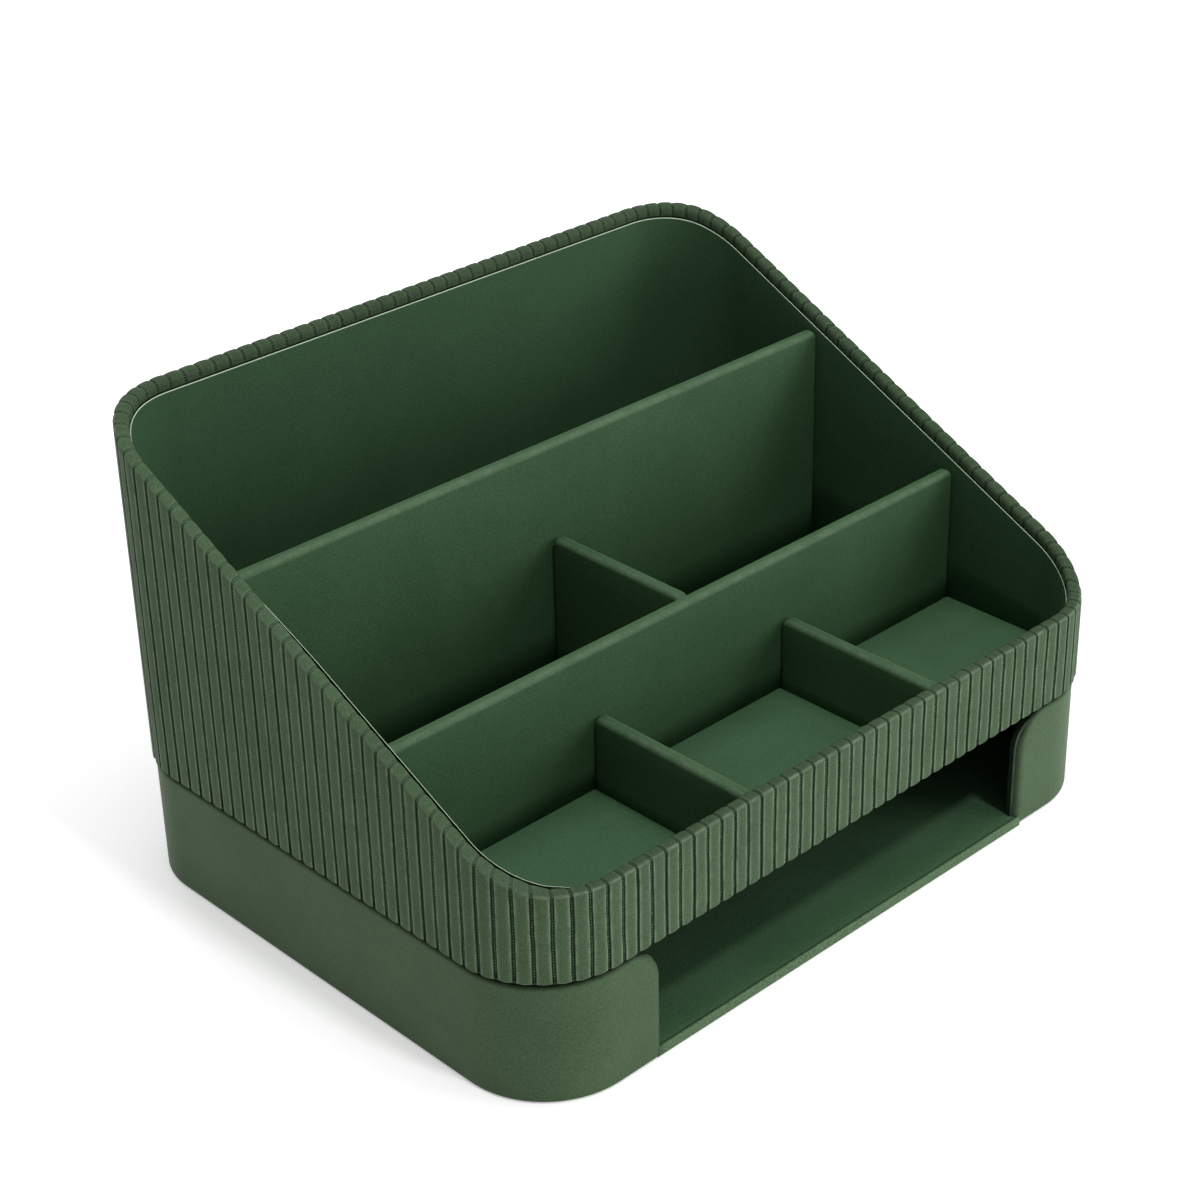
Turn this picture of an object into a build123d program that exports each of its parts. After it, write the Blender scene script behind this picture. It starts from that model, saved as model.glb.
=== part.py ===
from build123d import *
import math
import os

# Desk organizer: an open-fronted letter tray below, a compartment caddy with a sloping fluted rim above.
# Millimetres. X runs along the front, Y towards the back, Z up. The desk is at height zero.

# Overall shape, measured over the flutes
caddy_width = 330.0
caddy_depth = 253.0
caddy_corner_radius = 39.5
seam_height = 53.8
front_rim_height = 90.5
back_rim_height = 202.0
slope_front_inset = 11.5
slope_back_inset = 12.5
slope_front_blend = 20.0
slope_back_blend = 50.0

# Fluted wrap: padded leather sewn in ribs, carried over the rim and turned down inside
flute_count = 156
groove_width = 1.3
groove_depth = 0.9
rim_groove_depth = 1.6
wrap_backing = 1.3
turned_edge_depth = 4.2
turned_edge_thickness = 1.0
turned_groove_depth = 0.7
rim_bevel_share = 0.33

# Caddy shell
wall_board_thickness = 2.4
wall_liner_thickness = 1.6
underside_leather_thickness = 0.6
caddy_floor_board_thickness = 2.0
floor_leather_thickness = 1.0
locating_board_thickness = 3.0
locating_clearance = 0.8

# Partitions and dividers; insets count from the front face of the caddy, the offset from its middle
partition_thickness = 6.0
partition_leather_thickness = 1.2
partition_round_share = 0.42
partition_end_share = 0.3
partition_end_corner_radius = 3.0
partition_housing_depth = 1.0
front_partition_inset = 85.1
front_partition_top = 117.6
back_partition_inset = 164.0
back_partition_top = 158.9
middle_divider_top = 117.0
front_divider_top = 88.3
front_divider_offset = 53.0

# Tray; the two wall ends reach in from the sides of the caddy, and leave the front open between them
tray_wall_inset = 1.4
tray_wall_top = 52.0
tray_wall_leather_thickness = 1.0
tray_wall_board_thickness = 3.0
tray_wall_liner_thickness = 0.8
tray_end_reach = 58.5
tray_end_corner_radius = 10.5
tray_end_round_share = 0.36
tray_wall_desk_gap = 0.3
tray_felt_thickness = 0.8
tray_felt_margin = 2.5
tray_base_board_thickness = 2.4
tray_floor_leather_thickness = 0.9
tray_front_round_share = 0.7
tray_front_recess = 1.2

# Fit between glued pieces, and the overrun of every cut past the face it leaves through
glue_gap = 0.1
cut_overrun = 4.0

# A face counts as upward when this share or more of its normal points up
upward_share = 0.5

# Plan insets, counted inwards from the flute crests
wrap_thickness = wrap_backing + groove_depth
wall_core_outer = wrap_thickness + glue_gap
wall_core_inner = wall_core_outer + wall_board_thickness
lining_outer = wall_core_inner + glue_gap
turned_edge_inner = lining_outer + turned_edge_thickness
liner_inner = lining_outer + wall_liner_thickness
bay_edge = liner_inner + glue_gap
tray_core_outer = tray_wall_inset + tray_wall_leather_thickness + glue_gap
tray_core_inner = tray_core_outer + tray_wall_board_thickness
tray_liner_outer = tray_core_inner + glue_gap
tray_wall_inner = tray_liner_outer + tray_wall_liner_thickness

# Heights
caddy_floor_bottom = tray_wall_top + underside_leather_thickness
caddy_floor_board_top = caddy_floor_bottom + caddy_floor_board_thickness
caddy_floor_top = caddy_floor_board_top + floor_leather_thickness
partition_foot = caddy_floor_board_top - partition_housing_depth
tray_board_top = tray_felt_thickness + tray_base_board_thickness
tray_floor_top = tray_board_top + tray_floor_leather_thickness
sky_top = back_rim_height + slope_back_blend

# Places along X and Y
front_face = -caddy_depth / 2
back_face = caddy_depth / 2
bay_side = caddy_width / 2 - bay_edge
front_partition_start = front_face + front_partition_inset
front_partition_y = (front_partition_start, front_partition_start + partition_thickness)
back_partition_start = front_face + back_partition_inset
back_partition_y = (back_partition_start, back_partition_start + partition_thickness)
half_opening = caddy_width / 2 - tray_end_reach
half_divider = partition_thickness / 2


def prism(inset, bottom, top):
    """Upright rounded block whose plan is the flute-crest outline moved inwards by inset."""
    plan = RectangleRounded(
        caddy_width - inset * 2, caddy_depth - inset * 2, caddy_corner_radius - inset
    )
    return extrude(Pos(0, 0, bottom) * plan, top - bottom)


def block(x_range, y_range, z_range):
    """Rectangular block given by its two ends along each axis."""
    ranges = (x_range, y_range, z_range)
    size = [high - low for low, high in ranges]
    middle = [(high + low) / 2 for low, high in ranges]
    return Pos(*middle) * Box(*size)


def sky(drop):
    """Everything above the rim profile lowered by drop; the profile depends on Y alone."""
    low = front_rim_height - drop
    high = back_rim_height - drop
    line = [
        (front_face - caddy_corner_radius, low),
        (front_face + slope_front_inset, low),
        (back_face - slope_back_inset, high),
        (back_face + caddy_corner_radius, high),
    ]
    rim = FilletPolyline(*line, radius=[slope_front_blend, slope_back_blend])
    lid = Polyline(line[-1], (line[-1][0], sky_top), (line[0][0], sky_top), line[0])
    profile = make_face(Plane.YZ * (rim + lid))
    return Pos(-caddy_width, 0, 0) * extrude(profile, caddy_width * 2, dir=(1, 0, 0))


def sloped_ring(outer_inset, inner_inset, bottom, drop):
    """Wall between two insets of the outline, from bottom up to the rim profile lowered by drop."""
    outer = prism(outer_inset, bottom, sky_top)
    hollow = prism(inner_inset, bottom - cut_overrun, sky_top + cut_overrun)
    return outer - hollow - sky(drop)


def upper_boundary(solid):
    """Edges round the upward faces of a solid, without the seams between those faces."""
    tops = [face for face in solid.faces() if face.normal_at().Z > upward_share]
    edges = [edge for face in tops for edge in face.edges()]
    return [edge for edge in edges if sum(edge.is_same(other) for other in edges) == 1]


def outline_stations(count):
    """Places and headings at equal steps round the crest outline, starting half a step from front centre."""
    half_front = caddy_width / 2 - caddy_corner_radius
    side = caddy_depth - caddy_corner_radius * 2
    arc = caddy_corner_radius * math.pi / 2
    runs = [half_front, arc, side, arc, half_front * 2, arc, side, arc, half_front]
    step = sum(runs) / count
    stations = []
    x, y, heading, travelled = 0.0, front_face, 0.0, 0.0
    for index, run in enumerate(runs):
        bend = 1 / caddy_corner_radius if index % 2 else 0.0

        def advance(along):
            turn = along * bend
            chord = 2 * math.sin(turn / 2) / bend if bend else along
            aim = heading + turn / 2
            return x + chord * math.cos(aim), y + chord * math.sin(aim), heading + turn

        while len(stations) < count and (len(stations) + 1 / 2) * step <= travelled + run:
            stations.append(advance((len(stations) + 1 / 2) * step - travelled))
        x, y, heading = advance(run)
        travelled += run
    return stations


def make_fluted_wrap():
    """Padded skin hooked over the wall board, grooved from its lower edge over the rim to the turned edge."""
    low_end = seam_height - cut_overrun
    crest = sloped_ring(0, turned_edge_inner, seam_height, 0)
    crest = chamfer(upper_boundary(crest), turned_edge_inner * rim_bevel_share)
    board_slot = sloped_ring(wrap_thickness, lining_outer, low_end, wrap_thickness)
    liner_slot = sloped_ring(wall_core_inner, liner_inner + cut_overrun, low_end, turned_edge_depth)
    smooth = crest - board_slot - liner_slot
    floor = sloped_ring(groove_depth, turned_edge_inner - turned_groove_depth, low_end, rim_groove_depth)
    reach = turned_edge_inner + cut_overrun
    slab = Box(groove_width, reach * 2, sky_top - low_end)
    slabs = [
        Pos(x, y, (sky_top + low_end) / 2) * Rot(0, 0, math.degrees(heading)) * slab
        for x, y, heading in outline_stations(flute_count)
    ]
    grooves = Part() + slabs - floor
    return smooth - grooves.solids()


def partition(x_range, y_range, top):
    """Core board housed in the caddy floor, and the rounded leather wrapped over it, of one partition."""
    size_x = x_range[1] - x_range[0]
    size_y = y_range[1] - y_range[0]
    height = top - caddy_floor_board_top
    round_top = partition_thickness * partition_round_share
    corner_x = partition_end_corner_radius if size_x > size_y else round_top
    corner_y = partition_end_corner_radius if size_y > size_x else round_top
    front = Rectangle(size_x, height)
    front = extrude(Plane.XZ * fillet(front.vertices().group_by(Axis.Y)[-1], corner_x), size_y / 2, both=True)
    side = Rectangle(size_y, height)
    side = extrude(Plane.YZ * fillet(side.vertices().group_by(Axis.Y)[-1], corner_y), size_x / 2, both=True)
    plan = RectangleRounded(size_x, size_y, partition_thickness * partition_end_share)
    plan = extrude(plan, height / 2, both=True)
    middle = Pos(sum(x_range) / 2, sum(y_range) / 2, (top + caddy_floor_board_top) / 2)
    skin = middle * (front & side & plan)

    def inner(margin, foot):
        return block(
            (x_range[0] + margin, x_range[1] - margin),
            (y_range[0] + margin, y_range[1] - margin),
            (foot, top - partition_end_corner_radius / 2 - margin),
        )

    core = inner(partition_leather_thickness + glue_gap, partition_foot)
    return core, skin - inner(partition_leather_thickness, partition_foot - cut_overrun)


def tray_wall(outer_inset, inner_inset, bottom, top, half_gap, corner):
    """C-shaped wall, open at the front over twice half_gap, the two free upper corners rounded."""
    ring = prism(outer_inset, bottom, top) - prism(inner_inset, bottom - cut_overrun, top + cut_overrun)
    ring -= block((-half_gap, half_gap), (front_face, 0), (bottom - cut_overrun, top + cut_overrun))
    free = [
        edge
        for edge in ring.edges().group_by(Axis.Z)[-1].filter_by(Axis.Y)
        if abs(abs(edge.center().X) - half_gap) < glue_gap
    ]
    return fillet(free, corner)


def plate(inset, front_setback, bottom, top):
    """Tray floor outline: the space inside the wall, with a tongue between the wall ends."""
    tongue = block(
        (inset - tray_wall_inner - half_opening, half_opening - inset + tray_wall_inner),
        (front_face + tray_wall_inset + front_setback, 0),
        (bottom, top),
    )
    return prism(inset, bottom, top) + tongue


os.makedirs("parts", exist_ok=True)
nodes = {}

# Caddy partitions, wall to wall, then the dividers that stand between them
front_divider_y = (front_face + bay_edge, front_partition_y[0] - glue_gap)
middle_divider_y = (front_partition_y[1] + glue_gap, back_partition_y[0] - glue_gap)
upright_places = {
    "back_partition": ((-bay_side, bay_side), back_partition_y, back_partition_top),
    "front_partition": ((-bay_side, bay_side), front_partition_y, front_partition_top),
    "middle_divider": ((-half_divider, half_divider), middle_divider_y, middle_divider_top),
}
for side, middle in (("left", -front_divider_offset), ("right", front_divider_offset)):
    across = (middle - half_divider, middle + half_divider)
    upright_places[f"front_divider_{side}"] = (across, front_divider_y, front_divider_top)
housings = []
for name, (x_range, y_range, top) in upright_places.items():
    core, skin = partition(x_range, y_range, top)
    nodes[f"{name}_core"] = core
    nodes[f"{name}_leather"] = skin
    margin = partition_leather_thickness
    housing = block(
        (x_range[0] + margin, x_range[1] - margin),
        (y_range[0] + margin, y_range[1] - margin),
        (partition_foot, caddy_floor_board_top + cut_overrun),
    )
    housings.append(housing)

# Caddy shell
nodes["caddy_wall_core"] = sloped_ring(
    wall_core_outer, wall_core_inner, caddy_floor_bottom, wrap_thickness + glue_gap
)
nodes["caddy_wall_liner"] = sloped_ring(
    lining_outer, liner_inner, caddy_floor_board_top, turned_edge_depth + glue_gap
)
nodes["fluted_wrap"] = make_fluted_wrap()
nodes["caddy_floor_board"] = prism(lining_outer, caddy_floor_bottom, caddy_floor_board_top) - housings
nodes["caddy_underside_leather"] = prism(wall_core_outer, tray_wall_top, caddy_floor_bottom)
nodes["caddy_locating_board"] = prism(
    tray_wall_inner + locating_clearance, tray_wall_top - locating_board_thickness, tray_wall_top
)

# Caddy floor linings, one for each bay, cut from the floor outline
lining_sheet = prism(bay_edge, caddy_floor_board_top, caddy_floor_top)
sheet_height = (caddy_floor_board_top - cut_overrun, caddy_floor_top + cut_overrun)
divider_near = front_divider_offset - half_divider - glue_gap
divider_far = front_divider_offset + half_divider + glue_gap
middle_near = half_divider + glue_gap
bay_places = {
    "back_bay": ((-bay_side, bay_side), (back_partition_y[1] + glue_gap, back_face)),
    "middle_left": ((-bay_side, -middle_near), middle_divider_y),
    "middle_right": ((middle_near, bay_side), middle_divider_y),
    "front_left": ((-bay_side, -divider_far), front_divider_y),
    "front_centre": ((-divider_near, divider_near), front_divider_y),
    "front_right": ((divider_far, bay_side), front_divider_y),
}
for name, (x_range, y_range) in bay_places.items():
    nodes[f"{name}_floor_leather"] = lining_sheet & block(x_range, y_range, sheet_height)

# Tray wall: board, inner skin, and the leather turned over the top, the foot and both free ends
lip = tray_wall_leather_thickness
lip_gap = lip + glue_gap
tray_whole = tray_wall(
    tray_wall_inset, tray_wall_inner, tray_wall_desk_gap, tray_wall_top, half_opening, tray_end_corner_radius
)
tray_end_round = (tray_wall_inner - tray_wall_inset) * tray_end_round_share
end_edges = [
    edge
    for edge in tray_whole.edges().filter_by(Axis.Z)
    if abs(abs(edge.center().X) - half_opening) < glue_gap
]
tray_whole = chamfer(end_edges, tray_end_round)
tray_room = tray_wall(
    tray_core_outer - glue_gap,
    tray_wall_inner + cut_overrun,
    tray_wall_desk_gap + lip,
    tray_wall_top - lip,
    half_opening + lip,
    tray_end_corner_radius - lip,
)
nodes["tray_wall_leather"] = tray_whole - tray_room
nodes["tray_wall_core"] = tray_wall(
    tray_core_outer,
    tray_core_inner,
    tray_wall_desk_gap + lip_gap,
    tray_wall_top - lip_gap,
    half_opening + lip_gap,
    tray_end_corner_radius - lip_gap,
)
nodes["tray_wall_liner"] = tray_wall(
    tray_liner_outer,
    tray_wall_inner,
    tray_wall_desk_gap + lip_gap,
    tray_wall_top - lip_gap,
    half_opening + lip_gap,
    tray_end_corner_radius - lip_gap,
)

# Tray floor: felt pad, board, and the lining turned down over the board's front edge
plate_edge = tray_wall_inner + glue_gap
front_turn = tray_floor_leather_thickness + glue_gap
nodes["tray_base_felt"] = plate(
    plate_edge + tray_felt_margin, tray_front_recess + tray_felt_margin, 0, tray_felt_thickness
)
nodes["tray_base_board"] = plate(
    plate_edge, tray_front_recess + front_turn, tray_felt_thickness, tray_board_top
)
floor_skin = plate(plate_edge, tray_front_recess, tray_felt_thickness, tray_floor_top)
front_edge = floor_skin.edges().group_by(Axis.Z)[-1].sort_by(Axis.Y)[0]
floor_skin = fillet(front_edge, tray_floor_leather_thickness * tray_front_round_share)
nodes["tray_floor_leather"] = floor_skin - block(
    (-caddy_width, caddy_width),
    (front_face + tray_wall_inset + tray_front_recess + tray_floor_leather_thickness, caddy_depth),
    (0, tray_board_top),
)

for name, shape in nodes.items():
    export_step(shape, f"parts/{name}.step")
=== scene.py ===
# %% [markdown]
# # A fluted leather desk caddy on its letter tray
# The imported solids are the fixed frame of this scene. Each leather skin that shows is drawn again as a
# smooth surface that fits its solid, the boards stay as they are, and every finish is made from nodes.

# %% Load the frame
import math
import bpy
import numpy as np
from mathutils import Matrix


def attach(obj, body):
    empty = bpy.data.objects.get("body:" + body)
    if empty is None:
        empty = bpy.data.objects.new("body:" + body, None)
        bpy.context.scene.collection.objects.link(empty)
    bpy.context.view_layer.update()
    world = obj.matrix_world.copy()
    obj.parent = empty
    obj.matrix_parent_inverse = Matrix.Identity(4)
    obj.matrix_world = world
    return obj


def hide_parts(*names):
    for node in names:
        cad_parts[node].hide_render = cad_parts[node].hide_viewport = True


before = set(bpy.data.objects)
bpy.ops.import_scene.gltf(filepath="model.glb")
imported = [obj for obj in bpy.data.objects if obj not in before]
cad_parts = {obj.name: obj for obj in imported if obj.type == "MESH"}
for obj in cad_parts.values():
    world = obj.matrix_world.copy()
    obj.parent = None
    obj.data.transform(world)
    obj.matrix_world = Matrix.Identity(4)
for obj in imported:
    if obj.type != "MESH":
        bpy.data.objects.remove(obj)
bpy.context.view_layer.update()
scene = bpy.context.scene

# %% [markdown]
# ## The camera
# The picture looks down on the near left corner. A camera is a place, a direction and a lens: the
# direction is given as a turn from the back (yaw), a tip downwards (pitch) and a slight roll, and from
# these three angles come the camera's own right, up and backward axes, which fill its matrix.

# %% Camera
MM = 0.001
CAMERA_PLACE = np.array([-623.4, -648.2, 599.5]) * MM
YAW_PITCH_ROLL = 44.076, 28.238, 0.950


def camera_matrix(place, yaw, pitch, roll):
    """4x4 matrix whose columns are the right, up and backward axes and the place.

    Ahead is (sin yaw cos pitch, cos yaw cos pitch, -sin pitch), the level axis is square to it, and the
    roll turns right and up about it.
    """
    ahead = np.array([math.sin(yaw) * math.cos(pitch), math.cos(yaw) * math.cos(pitch), -math.sin(pitch)])
    level = np.array([math.cos(yaw), -math.sin(yaw), 0.0])
    down = np.cross(ahead, level)
    right = math.cos(roll) * level + math.sin(roll) * down
    up = math.sin(roll) * level - math.cos(roll) * down
    matrix = np.eye(4)
    matrix[:3, :] = np.stack([right, up, -ahead, place], axis=1)
    return Matrix(matrix.tolist())


camera_data = bpy.data.cameras.new("camera")
camera_data.lens = 76.43
camera_data.sensor_width = 36.0
camera_data.shift_x = -0.0240
camera_data.shift_y = -0.0282
camera_data.clip_start = 0.01
camera = bpy.data.objects.new("camera", camera_data)
scene.collection.objects.link(camera)
camera.matrix_world = camera_matrix(CAMERA_PLACE, *map(math.radians, YAW_PITCH_ROLL))
scene.camera = camera
print("camera stands", round(float(np.linalg.norm(CAMERA_PLACE)), 3), "m from the middle of the base")

# %% [markdown]
# ## The outline and the rim
# Every wall follows one rounded rectangle. It is worked out as a path: at a distance along it, measured
# from the middle of the front, it gives a point and the direction that faces out. A wall of any
# thickness is then this path moved inwards. The rim's height depends only on how far back a point is:
# level at the front, a straight slope, and a level top at the back, with an arc at each change.

# %% Outline
WIDTH, DEPTH, CORNER = 330.0, 253.0, 39.5
HALF_X, HALF_Y, TURN = WIDTH / 2 - CORNER, DEPTH / 2 - CORNER, CORNER * math.pi / 2
RUNS = np.array([HALF_X, TURN, 2 * HALF_Y, TURN, 2 * HALF_X, TURN, 2 * HALF_Y, TURN, HALF_X])
ROUND = float(RUNS.sum())


def outline(distance, inset):
    """Point and outward direction at a distance along the rounded rectangle, moved inwards by inset.

    Along a straight run the heading stays and the point moves on; round a corner the heading turns by
    the distance over the radius, and the point lies one radius out from the corner's centre.
    """
    distance = np.asarray(distance, dtype=float) % ROUND
    starts = np.cumsum(RUNS) - RUNS
    run = np.clip(np.searchsorted(starts, distance, side="right") - 1, 0, len(RUNS) - 1)
    along = distance - starts[run]
    bends = run % 2 == 1
    heading = (run // 2 + np.where(bends, along / TURN, 0.0)) * math.pi / 2
    straight = np.where(bends, 0.0, along)
    from_x = (np.array([0, 1, 1, 1, 1, -1, -1, -1, -1]) * HALF_X)[run]
    from_y = (np.array([-1, -1, -1, 1, 1, 1, 1, -1, -1]) * HALF_Y)[run]
    out_x, out_y = np.sin(heading), -np.cos(heading)
    x = from_x + straight * np.cos(heading) + (CORNER - inset) * out_x
    y = from_y + straight * np.sin(heading) + (CORNER - inset) * out_y
    return x, y, out_x, out_y


print("way round the outline", round(ROUND, 1), "mm")

# %% Rim height
LOW_RIM, HIGH_RIM = 90.5, 202.0
SLOPE_FRONT, SLOPE_BACK = -DEPTH / 2 + 11.5, DEPTH / 2 - 12.5
FRONT_BLEND, BACK_BLEND = 20.0, 50.0
SLOPE = math.atan2(HIGH_RIM - LOW_RIM, SLOPE_BACK - SLOPE_FRONT)


def rim_height(y):
    """Height of the rim at a place y: two levels and a slope, joined by a hollow arc and a round arc.

    Each arc touches its level line the radius times the tangent of half the slope's angle before the
    corner, and leaves that level by the radius less the square root of radius squared less run squared.
    """
    front_reach, back_reach = FRONT_BLEND * math.tan(SLOPE / 2), BACK_BLEND * math.tan(SLOPE / 2)
    front_run = np.clip(y - SLOPE_FRONT + front_reach, 0.0, FRONT_BLEND * math.sin(SLOPE))
    back_run = np.clip(SLOPE_BACK + back_reach - y, 0.0, BACK_BLEND * math.sin(SLOPE))
    hollow = LOW_RIM + FRONT_BLEND - np.sqrt(FRONT_BLEND ** 2 - front_run ** 2)
    crown = HIGH_RIM - BACK_BLEND + np.sqrt(BACK_BLEND ** 2 - back_run ** 2)
    line = LOW_RIM + (y - SLOPE_FRONT) * math.tan(SLOPE)
    height = np.where(y < SLOPE_FRONT + front_reach * math.cos(SLOPE), hollow, line)
    return np.where(y > SLOPE_BACK - back_reach * math.cos(SLOPE), crown, height)


print("rim heights", np.round(rim_height(np.array([-126.0, -60.0, 0.0, 60.0, 126.0])), 1))

# %% [markdown]
# ## From a grid of points to a mesh
# A surface is a grid of points: rows run across it, columns along it. Neighbouring points make
# four-sided faces, and where the grid comes back on itself the last row or column joins the first. The
# enclosed volume, summed from the faces, comes out negative when they point inwards, and then each is
# turned over. Extra values that a finish needs are kept on the points as attributes.

# %% Grid to mesh


def grid_piece(name, points, body, nodes, slot, join_columns=True, **values):
    """Mesh object from points[row, column] in millimetres, on a body, in place of the named solids.

    Each point is joined to the next in its row and its column; the values become attributes of the points.
    """
    rows, columns = points.shape[:2]
    index = np.arange(rows * columns).reshape(rows, columns)
    beside, above = np.roll(index, -1, 1), np.roll(index, -1, 0)
    quads = np.stack([index, beside, np.roll(above, -1, 1), above], -1)
    quads = quads[:, : columns if join_columns else columns - 1].reshape(-1, 4)
    flat = points.reshape(-1, 3) * MM
    a, b, c, d = (flat[quads[:, k]] for k in range(4))
    volume = (a * (np.cross(b, c) + np.cross(c, d))).sum()
    quads = quads if volume > 0 else quads[:, ::-1]
    mesh = bpy.data.meshes.new(name)
    mesh.from_pydata(flat.tolist(), [], quads.tolist())
    for key, value in values.items():
        spread = np.broadcast_to(value, points.shape[:2]).astype(np.float32)
        mesh.attributes.new(key, "FLOAT", "POINT").data.foreach_set("value", spread.ravel())
    mesh.polygons.foreach_set("use_smooth", np.ones(len(quads), dtype=bool))
    mesh.update()
    piece = bpy.data.objects.new(name, mesh)
    scene.collection.objects.link(piece)
    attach(piece, body)
    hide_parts(*nodes)
    print(name, len(quads) * 2, "triangles,", round(abs(volume) / 6 * 1e6, 1), "cubic cm enclosed")
    return piece


# %% [markdown]
# ## The fluted wrap
# The outer skin is foam-backed leather sewn down in upright ribs. The ribs run up the wall, over the rim
# and a little way down inside. It could be sculpted, or simulated as a quilt, but the foam is thin and
# pulled tight over a board, so a worked-out surface is truer: one profile (bottom edge, face, rim, inside
# edge, hidden side) is carried round the outline, and each point is let into the skin by a groove curve.

# %% Profile of the wrap
FOOT_AT, FOOT_ROUND, RIM_HALF, OUTER_POWER, INNER_POWER = 53.35, 0.55, 3.1, 3.6, 2.6


def wrap_profile():
    """Rows of the wrap: inset, blend from foot to rim, height over the foot, height over the rim, outward
    direction (inwards part, upwards part), how far the row is ribbed, how far it is on the rim, and wear
    with a painted highlight on the bends.

    A quarter turn draws the bottom edge, a straight line the face, and half of |x|**n + |z|**n = 1 the
    rim. With n over 2 that is flatter on top than a half circle, and its outer bend, with the larger n,
    is the sharper one. Its outward direction is (x**(n-1), z**(n-1)) made one long.
    """
    foot, face, top = np.linspace(math.pi / 2, 0, 5), np.linspace(0, 1, 9)[1:-1], np.linspace(0, math.pi, 15)
    power = np.where(top < math.pi / 2, OUTER_POWER, INNER_POWER)
    nil, full = np.zeros_like, np.ones_like
    bottom = [FOOT_ROUND * (1 - np.cos(foot)), nil(foot), FOOT_ROUND * (1 - np.sin(foot)), nil(foot),
              -np.cos(foot), -np.sin(foot), full(foot), nil(foot), np.sin(2 * foot) ** 0.5]
    wall = [nil(face), face, FOOT_ROUND * full(face), -RIM_HALF * full(face),
            -full(face), nil(face), full(face), nil(face), nil(face)]
    across, up = np.sign(np.cos(top)) * np.abs(np.cos(top)) ** (2 / power), np.abs(np.sin(top)) ** (2 / power)
    out_in, out_up = -np.sign(across) * np.abs(across) ** (power - 1), up ** (power - 1)
    size = np.hypot(out_in, out_up)
    bend = np.exp(-((np.arctan2(out_up, -out_in) - 0.75) / 0.35) ** 2)
    rim = [RIM_HALF * (1 - across), full(top), nil(top), RIM_HALF * (up - 1), out_in / size, out_up / size,
           full(top), np.where(top < math.pi / 2, np.sin(top), 1.0), bend]
    inside = [[6.2, 6.2, 6.05, 4.9, 4.9, 2.2, 2.2], [1, 1, 1, 1, 1, 1, 0], [0, 0, 0, 0, 0, 0, 0.05],
              [-3.8, -4.25, -4.4, -4.4, -2.3, -2.3, 0], [1, 1, 1, 0, 0, 0, 0], [0] * 7,
              [1, 1, 0.6, 0, 0, 0, 0], [1, 1, 1, 1, 1, 1, 0], [0] * 7]
    return np.concatenate([np.stack([np.asarray(column, dtype=float) for column in part], 1)
                           for part in (bottom, wall, rim, inside)])


print("profile rows", len(wrap_profile()))

# %% [markdown]
# ## Ribs and sewn grooves
# Between two ribs the leather is sewn down. Seen in section a groove has a narrow floor, raised in the
# middle by the thread, a crease at each side, and a rounded shoulder up to the rib. On the wall the rib is
# nearly flat; on the rim the groove gets shallower and the rib is a pillow. Where the rim slopes, the
# folded ribs also lean towards its high end, as any stripe does that is folded over a slanting edge. On
# the left slope the leather was pulled tighter, so the grooves are fainter on the rim there. The columns
# of the grid follow these lines, so the creases stay sharp with few points.

# %% Fluted wrap
FLUTES = 156
PITCH = ROUND / FLUTES
ON_FLOOR = np.array([0, 0.45, 0.75, 1, 1, 1, 1, 1, 1, 1])
ON_SHOULDER = np.radians([0, 0, 0, 0, 35, 65, 90, 90, 90, 90])
ON_RIB = np.array([0, 0, 0, 0, 0, 0, 0, 0.14, 0.5, 1])
# Painted shade in the groove across half a rib: most on its floor, fading up the shoulder.
GROOVE_SHADE = np.array([0.8, 0.9, 1, 1, 0.9, 0.4, 0, 0, 0, 0])
# Rubbed paler beside the groove: partly wear, partly a painted highlight on the rib's edge.
RUBBED_AND_LIT = np.array([0, 0, 0, 0, 0, 0.2, 1, 0.35, 0, 0])
HALF_COLUMNS = len(ON_FLOOR)
COLUMNS = 2 * HALF_COLUMNS - 2
ON_WALL_AND_RIM = [(0.52, 0.34), (0.5, 0.66), (1.1, 0.53), (0.5, 0.14), (0.2, 0.16)]
LEAN = 0.45


def both_sides(half):
    """Columns of a whole rib from those of half a rib: out to its middle and back again."""
    return np.tile(np.concatenate([half, half[-2:0:-1]]), FLUTES)[None, :]


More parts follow.
